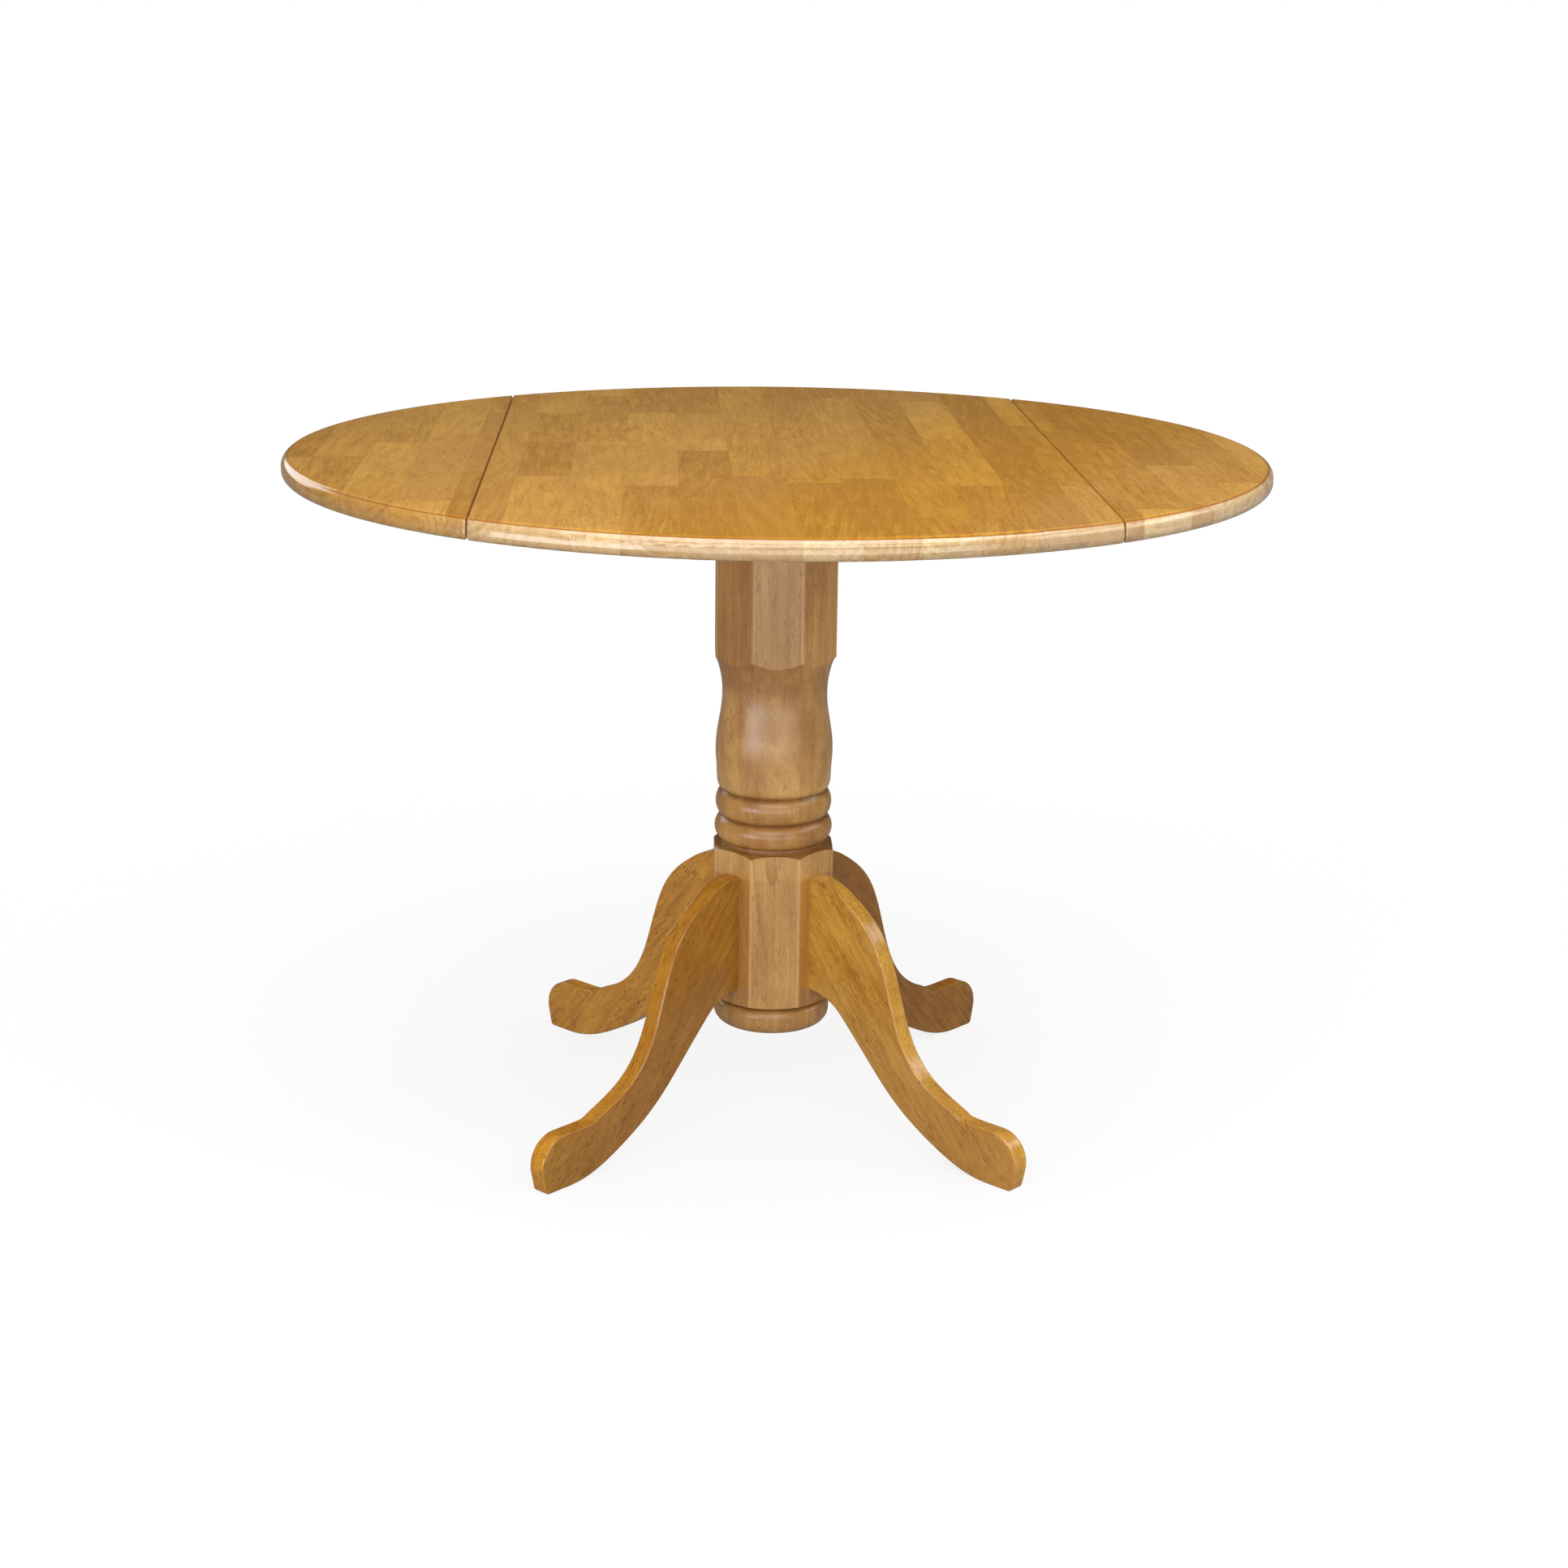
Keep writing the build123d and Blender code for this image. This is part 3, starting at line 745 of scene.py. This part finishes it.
def board_tints_and_light(tree, place, colour):
    x, y, z = place
    on_upper = fade(tree, z, upper_faces_from - 0.04, upper_faces_from)
    left_of_joint = fade(tree, x, board_edge - 0.0003, board_edge + 0.0003, 1.0, 0.0)
    faintly_on_vase = fade(tree, z, 0.38, 0.42, 0.0, 0.1)
    contrast = largest(tree, on_upper, faintly_on_vase)
    colour = tinted(tree, multiply(tree, left_of_joint, contrast), colour, left_board_tint)
    # Painted light: the upper faces right of the front one are lifted paler.
    right_face_lit = multiply(tree, fade(tree, x, -board_edge - 0.0005, -board_edge), on_upper)
    colour = tinted(tree, right_face_lit, colour, right_face_light_tint)
    glue_line = line_mask(tree, calc(tree, "SUBTRACT", x, board_edge), 0.0009)
    return blend_colour(tree, multiply(tree, glue_line, contrast, 0.5), colour, paint(110, 62, 30))


print("column's boards ready")

# %% [markdown]
# ### Stain and painted shade on the turning and the faces
# The grooves between the beads, the shoulder and the band under the scallops are darkened with painted
# shade, where these hollows and under-sides lie out of the light, and with some gathered stain; the foot
# ring takes a deeper stain. The beads are cut open more than a planed face and so are a little deeper.
# The lower eight faces are deeper than the upper ones, and the four that the legs join are darker still,
# painted shade between leg and column. The long sharp corners are rubbed pale. Each mask is a height and
# a distance from the axis: the larger of the square and the slanting distance is the same all over a
# flat, and tells it from the turning.

# %% Column: painted shade, gathered stain and rubbed corners
# The first tint is painted shade in the hollows, with some gathered stain; the last is painted shade on the
# faces the legs join.
shade_and_stain_tint = (0.52, 0.43, 0.33)
bead_tint = (0.76, 0.63, 0.47)
lower_tint = (0.9, 0.89, 0.84)
leg_face_shade_tint = (0.88, 0.72, 0.5)


def column_stain_and_shade(tree, place, colour):
    x, y, z = place
    from_axis = vector_calc(tree, "LENGTH", join(tree, x, y, 0.0))
    wide, deep = size_of(tree, x), size_of(tree, y)
    slant = multiply(tree, calc(tree, "ADD", wide, deep), sqrt(0.5))
    on_flat = fade(tree, largest(tree, wide, deep, slant), *across_flats)
    turned = inverse(tree, on_flat)
    in_groove = multiply(tree, band(tree, z, *grooves, 0.004), fade(tree, from_axis, *groove_depth, 1.0, 0.0))
    outward = fade(tree, from_axis, *shoulder_width)
    on_shoulder = multiply(tree, band(tree, z, *shoulder, 0.002), turned, outward)
    under_scallops = multiply(tree, band(tree, z, *upper_scallops, 0.015), turned, 0.35)
    round_foot = fade(tree, z, foot_ring_top - 0.003, foot_ring_top, 0.4, 0.0)
    # Painted shade in the grooves, on the shoulder and under the scallops, with gathered stain there and
    # round the foot ring.
    shade_and_stain = largest(tree, in_groove, on_shoulder, under_scallops, round_foot)
    colour = tinted(tree, shade_and_stain, colour, shade_and_stain_tint)
    colour = tinted(tree, multiply(tree, band(tree, z, *beads, 0.003), 0.7), colour, bead_tint)
    lower_face = multiply(tree, band(tree, z, *lower_faces, 0.004), on_flat)
    colour = tinted(tree, lower_face, colour, lower_tint)
    below_scallops = fade(tree, z, *lower_scallops, 1.0, 0.0)
    # Painted shade on the four lower faces that the legs join, between leg and column.
    leg_face_shade = multiply(tree, fade(tree, slant, *across_flats), below_scallops, 0.7)
    colour = tinted(tree, leg_face_shade, colour, leg_face_shade_tint)
    rubbed = multiply(tree, fade(tree, from_axis, *corner), on_flat, 0.35)
    return blend_colour(tree, rubbed, colour, paint(226, 184, 128))


def column_colour(tree, position):
    place = split(tree, position)
    colour, height = column_wood(tree, place)
    return column_stain_and_shade(tree, place, board_tints_and_light(tree, place, colour)), height


dress("column", lacquered_wood("column_wood", column_colour, coat_roughness=0.31))
print("column dressed")

# %% [markdown]
# ## The legs
# Each leg is sawn from a plank with the grain down the slope of the scroll, so that no part of it is
# short-grained. Legs have the deepest honey of the table, and each of the four planks took the stain a
# little differently. The front left and rear right legs, whose seen faces turn away from the left key,
# are made darker too: painted shade. The sawn edge all round the scroll cuts across the fibres and was
# sanded more than the broad faces, so it is paler, and it is lifted further with painted light and a
# painted highlight. So each plank gets a depth, and a tint for its faces and its edge.

# %% Legs: planks and paints
grain_slope = radians(-48)
# The depth and face tint of the front left and rear right legs paint shade on them; the edge tint is the
# paler sanded edge with painted light and highlight.
planks = {
    "leg_front_left": dict(angle=225, depth=0.2, face_and_shade=(0.83, 0.79, 0.69), sawn_edge_and_light=(1.36, 1.34, 0.9)),
    "leg_front_right": dict(angle=315, depth=-0.18, face_and_shade=(0.98, 0.98, 1.02), sawn_edge_and_light=(1.28, 1.36, 1.4)),
    "leg_rear_left": dict(angle=135, depth=-0.1, face_and_shade=(1.03, 0.93, 0.64), sawn_edge_and_light=(1.2, 1.2, 1.0)),
    "leg_rear_right": dict(angle=45, depth=0.25, face_and_shade=(0.7, 0.62, 0.44), sawn_edge_and_light=(1.45, 1.4, 1.1)),
}
leg_paints = {
    "Dark": paint(164, 109, 28),
    "Light": paint(210, 158, 65),
    "Blush_Colour": paint(167, 112, 47),
    "Pore": paint(108, 64, 18),
}
print("legs:", ", ".join(planks))

# %% [markdown]
# ### The grain down the scroll
# The figure's long axis is turned to the slope in the leg's own upright plane, which is why each leg has
# a material of its own. The way the surface faces tells the sawn edge from the broad faces. A mask made
# from the place alone couldn't follow so free a curve.

# %% Legs: material


def turned_pair(tree, first, second, angle):
    """Two coordinates of one plane, turned by an angle: along the turned axis, and across it."""
    along = calc(tree, "ADD", multiply(tree, first, cos(angle)), multiply(tree, second, sin(angle)))
    across = calc(tree, "SUBTRACT", multiply(tree, second, cos(angle)), multiply(tree, first, sin(angle)))
    return along, across


def leg_colour(seed, angle, depth, face_and_shade, sawn_edge_and_light):
    angle = radians(angle)

    def steps(tree, position):
        x, y, z = split(tree, position)
        outward, through = turned_pair(tree, x, y, angle)
        along, across = turned_pair(tree, outward, z, grain_slope)
        figure = place_group(
            tree,
            figure_group,
            Vector=join(tree, across, through, along),
            Seed=seed,
            Heart_Distance=0.12,
            Ring_Spacing=0.012,
            Ring_Strength=0.35,
            Fibre_Strength=1.2,
            Fibre_Length=0.035,
            Mottle_Strength=1.1,
            Pore_Amount=0.9,
        )
        colour = place_group(
            tree,
            stain_group,
            Tone=calc(tree, "SUBTRACT", figure["Tone"], depth, clamp=True),
            Pores=figure["Pores"],
            Blush=multiply(tree, figure["Blush"], 0.5),
            **leg_paints,
        )["Color"]
        # Each plank's own tone, with painted shade on the front left and rear right legs.
        colour = tinted(tree, 1.0, colour, face_and_shade)
        turned_to = tree.nodes.new("ShaderNodeNewGeometry").outputs["Normal"]
        sideways = (-sin(angle), cos(angle), 0)
        broad_face = size_of(tree, vector_calc(tree, "DOT_PRODUCT", turned_to, sideways))
        # The sawn edge is paler wood, lifted further with painted light and a painted highlight.
        on_edge = fade(tree, broad_face, 0.4, 0.85, 1.0, 0.0)
        return tinted(tree, on_edge, colour, sawn_edge_and_light), figure["Height"]

    return steps


for number, (node, plank) in enumerate(planks.items()):
    dress(node, lacquered_wood(node + "_wood", leg_colour(1.7 * number + 0.6, **plank)))
print("legs dressed")

# %% [markdown]
# ## The timber under the top
# Two cleats and the block that holds the column are only seen by someone who looks under the table, so
# the real ones get one thin coat of stain and hardly any lacquer. Their grain runs along their length.

# %% Cleats and mounting block
timber_paints = {
    "Dark": paint(164, 116, 62),
    "Light": paint(206, 164, 106),
    "Blush_Colour": paint(170, 122, 76),
    "Pore": paint(118, 78, 40),
}


def timber_colour(seed):
    def steps(tree, position):
        x, y, z = split(tree, position)
        figure = place_group(
            tree,
            figure_group,
            Vector=join(tree, z, y, x),
            Seed=seed,
            Heart_Distance=-0.66,
            Ring_Spacing=0.007,
            Ring_Strength=0.6,
            Fibre_Strength=1.2,
            Mottle_Strength=0.6,
            Pore_Amount=0.8,
        )
        stained = place_group(
            tree,
            stain_group,
            Tone=figure["Tone"],
            Pores=figure["Pores"],
            Blush=multiply(tree, figure["Blush"], 0.4),
            **timber_paints,
        )
        return stained["Color"], figure["Height"]

    return steps


for number, node in enumerate(("front_cleat", "rear_cleat", "mounting_block")):
    timber = timber_colour(2.3 * number + 0.4)
    dress(node, lacquered_wood(node + "_wood", timber, coat=0.15, coat_roughness=0.4))
print("timber under the top dressed")

# %% [markdown]
# ## Zinc plating
# Zinc plating is a thin grey metal skin with a soft sheen, small cloudy crystals and rub marks where
# pieces slide. A clean mirror would look like chrome, so the cloud noise drives the roughness and a
# little of the colour. A finer noise breaks up the clouds and gives the bump its grain.

# %% Node group: plating
plating_group, given, result = new_group(
    "plating",
    [
        ("Vector", "Vector", (0, 0, 0)),
        ("Metal", "Color", (0.6, 0.6, 0.6, 1)),
        ("Tarnish", "Color", (0.4, 0.38, 0.34, 1)),
        ("Cloud Size", "Float", 0.006),
        ("Tarnish Amount", "Float", 0.3),
        ("Smooth", "Float", 0.28),
        ("Rough", "Float", 0.5),
    ],
    [("Color", "Color"), ("Roughness", "Float"), ("Height", "Float")],
)
tree = plating_group
grains_in_cloud = 9
speckle = 0.35
bright_below, dull_above = 0.35, 0.68
cloud_scale = calc(tree, "DIVIDE", 1.0, given["Cloud Size"])
cloud_vector = vector_calc(tree, "MULTIPLY", given["Vector"], join(tree, *[cloud_scale] * 3))
clouds = noise(tree, cloud_vector, detail=4.0, roughness=0.6).outputs["Fac"]
grain_vector = vector_calc(tree, "MULTIPLY", cloud_vector, (grains_in_cloud,) * 3)
grains = noise(tree, grain_vector, detail=1.0).outputs["Fac"]
speckled = calc(tree, "MULTIPLY_ADD", calc(tree, "SUBTRACT", grains, 0.5), speckle, clouds)
dull = fade(tree, speckled, bright_below, dull_above)
tarnished = multiply(tree, dull, given["Tarnish Amount"])
plug(tree, result["Color"], blend_colour(tree, tarnished, given["Metal"], given["Tarnish"]))
plug(tree, result["Roughness"], fade(tree, dull, 0.0, 1.0, given["Smooth"], given["Rough"]))
plug(tree, result["Height"], grains)
print("plating:", len(tree.nodes), "steps")

# %% [markdown]
# ## Three kinds of steel
# Bolts and stays are dipped grey, screws and hinges have the warm yellow of a chromate bath, and the
# hinge pins are bright because the knuckles rub them. One recipe makes all three. The last word of a
# piece's name says what it is, so a whole family of small pieces is dressed in one loop.

# %% Steel pieces


def plated_steel(name, metal, tarnish, tarnish_amount, smooth, rough):
    material, tree, shader, position = new_material(name)
    plating = place_group(
        tree,
        plating_group,
        Vector=position,
        Metal=metal,
        Tarnish=tarnish,
        Tarnish_Amount=tarnish_amount,
        Smooth=smooth,
        Rough=rough,
    )
    shader.inputs["Metallic"].default_value = 1.0
    plug(tree, shader.inputs["Base Color"], plating["Color"])
    plug(tree, shader.inputs["Roughness"], plating["Roughness"])
    add_bump(tree, shader, plating["Height"], 0.08, 0.0002)
    return material


grey_zinc = plated_steel("grey_zinc", paint(170, 172, 174), paint(126, 125, 121), 0.45, 0.42, 0.56)
warm_zinc = plated_steel("warm_zinc", paint(200, 186, 146), paint(150, 128, 84), 0.55, 0.36, 0.52)
bright_steel = plated_steel("bright_steel", paint(208, 208, 208), paint(140, 138, 134), 0.3, 0.16, 0.32)
steel_of = {"pin": bright_steel, "screws": warm_zinc}
for word in ("bolts", "washers", "nuts", "rivets", "arm", "bracket"):
    steel_of[word] = grey_zinc
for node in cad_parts:
    last_word = node.split("_")[-1]
    if last_word in steel_of:
        dress(node, steel_of[last_word])
    elif "_hinge_" in node:
        dress(node, warm_zinc)
print("steel dressed")

# %% [markdown]
# ## World
# The backdrop is plain white. Light Path tells the rays apart: what the camera and clear pieces see is
# white, while the light that reaches the wood stays at a plain level. The lacquered top is seen at a low
# angle, where it mirrors the far wall strongly, so that wall is kept dim for mirror rays, as a studio
# keeps the wall behind a glossy table unlit.

# %% World


def grey(level):
    return (level, level, level, 1.0)


bpy.context.scene.view_settings.view_transform = "Standard"
white = grey(1.0)
fill_light = (0.56, 0.56, 0.57, 1.0)
dim_wall = grey(0.05)
world = bpy.data.worlds.new("studio")
bpy.context.scene.world = world
world.use_nodes = True
tree = world.node_tree
backdrop = tree.nodes["Background"]
backdrop.inputs["Strength"].default_value = 1.0
rays = tree.nodes.new("ShaderNodeLightPath").outputs
room_light = blend_colour(tree, rays["Is Glossy Ray"], fill_light, dim_wall)
seen_white = largest(tree, rays["Is Camera Ray"], rays["Is Transmission Ray"])
plug(tree, backdrop.inputs["Color"], blend_colour(tree, seen_white, room_light, white))
print("world ready")

# %% [markdown]
# ## Floor
# A white sheet lies under the feet. To the camera it glows white, and near the table a share of it is
# left matt, so that it keeps a soft shadow which fades out before the sheet does. Mirror rays and rays
# through clear pieces see it glow too, but mirror rays only dimly, or the edge of the top would mirror
# a bright floor. As a source of light for the wood it is a middle grey.

# %% Floor
half_sheet = 30
shadow_full, shadow_gone = 0.45, 1.5     # distance from the column where the matt share is full and gone
matt_share = 0.17
floor_mesh = bpy.data.meshes.new("floor")
corners = [(x * half_sheet, y * half_sheet, 0) for x, y in ((-1, -1), (1, -1), (1, 1), (-1, 1))]
floor_mesh.from_pydata(corners, [], [(0, 1, 2, 3)])
floor = bpy.data.objects.new("floor", floor_mesh)
bpy.context.scene.collection.objects.link(floor)
floor_paint, tree, matt, position = new_material("floor_paint")
floor_mesh.materials.append(floor_paint)
rays = tree.nodes.new("ShaderNodeLightPath").outputs
matt.inputs["Roughness"].default_value = 1.0
matt.inputs["Specular IOR Level"].default_value = 0.0
plug(tree, matt.inputs["Base Color"], blend_colour(tree, rays["Is Camera Ray"], grey(0.42), grey(0.92)))
glow = tree.nodes.new("ShaderNodeEmission")
glow.inputs["Strength"].default_value = 1.0
plug(tree, glow.inputs["Color"], blend_colour(tree, rays["Is Glossy Ray"], white, grey(0.25)))
from_column = vector_calc(tree, "LENGTH", position)
left_matt = fade(tree, from_column, shadow_full, shadow_gone, matt_share, 0.0)
camera_white = multiply(tree, inverse(tree, left_matt), rays["Is Camera Ray"])
mix = tree.nodes.new("ShaderNodeMixShader")
plug(tree, mix.inputs[0], largest(tree, camera_white, rays["Is Glossy Ray"], rays["Is Transmission Ray"]))
plug(tree, mix.inputs[1], matt.outputs[0])
plug(tree, mix.inputs[2], glow.outputs[0])
plug(tree, tree.nodes["Material Output"].inputs["Surface"], mix.outputs[0])
print("floor ready")

# %% [markdown]
# ## Lamps
# Large flat lamps give the soft, even light of a studio. Gloss is the difficulty: a lamp just above the
# plane of the top is mirrored in all of it by an eye on the far side, and washes it white. So the banks
# stand either well above the top, steeper than a low view mirrors, or below its plane, where only the
# rim, the column and the legs can catch them. The left key draws the bright streaks on the vase and the
# beads. Only the small card behind stands low, too dim to do harm, and lifts the rear legs off the dark.

# %% Lamps


def soft_lamp(name, place, target, width, height, brightness):
    """A flat soft lamp. Its brightness is that of its own white face."""
    data = bpy.data.lights.new(name, "AREA")
    data.shape = "RECTANGLE"
    data.size, data.size_y = width, height
    data.energy = brightness * pi * width * height
    lamp = bpy.data.objects.new(name, data)
    lamp.location = place
    lamp.rotation_euler = (Vector(target) - Vector(place)).to_track_quat("-Z", "Y").to_euler()
    bpy.context.scene.collection.objects.link(lamp)


top_middle = (0, 0, table_height)
column_middle = (0, 0, 0.4)
soft_lamp("overhead_bank", (0.2, -0.9, 2.4), (0.2, -0.9, 0), width=2.6, height=1.8, brightness=3.05)
soft_lamp("high_front_bank", (-0.2, -2.9, 2.3), top_middle, width=4.0, height=1.0, brightness=3.0)
soft_lamp("low_front_bank", (0.2, -3.0, 0.4), column_middle, width=5.0, height=0.64, brightness=2.1)
soft_lamp("right_bank", (2.4, -0.4, 1.9), top_middle, width=2.6, height=0.9, brightness=2.0)
soft_lamp("left_key", (-1.8, -1.8, 0.42), column_middle, width=1.5, height=0.62, brightness=4.2)
soft_lamp("rear_left_card", (-1.5, 1.6, 1.3), top_middle, width=1.1, height=0.8, brightness=2.0)
print("lamps ready")
